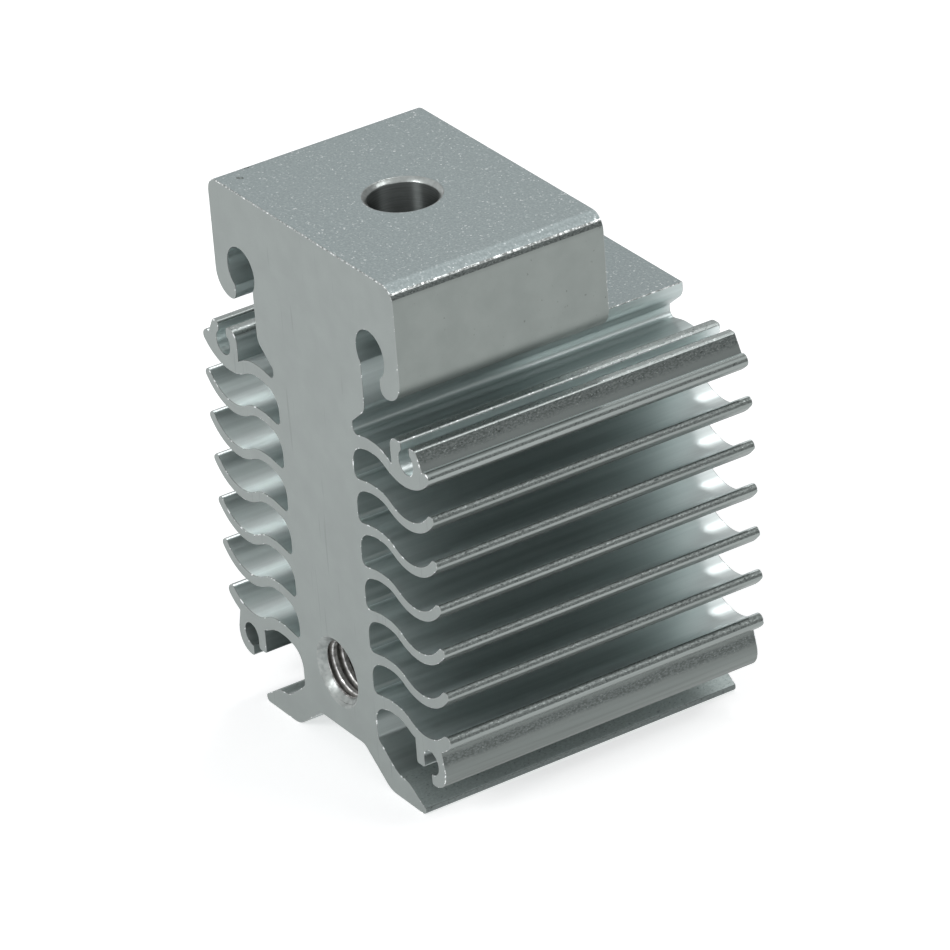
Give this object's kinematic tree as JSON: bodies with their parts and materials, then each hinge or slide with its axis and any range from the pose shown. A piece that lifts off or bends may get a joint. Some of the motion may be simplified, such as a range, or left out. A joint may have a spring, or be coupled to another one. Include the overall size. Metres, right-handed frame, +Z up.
{
  "type": "hotend heat sink",
  "caption": "Extruded aluminium heat sink for a printer hot end: solid bored head and web, curved fins on both sides, open screw ports and splayed feet.",
  "frame": {"origin": "middle of the length, on the centre plane, on the plane that the feet stand on", "axes": "+X across the fins, +Y along the extrusion away from the end with the clamp screw's hole, +Z up from the feet to the head"},
  "size_m": [0.03, 0.027, 0.0423],
  "materials": {
    "aluminium": "satin, as extruded, with sawn and milled ends"
  },
  "bodies": {
    "root": {"heat_sink": "aluminium"}
  },
  "joints": []
}
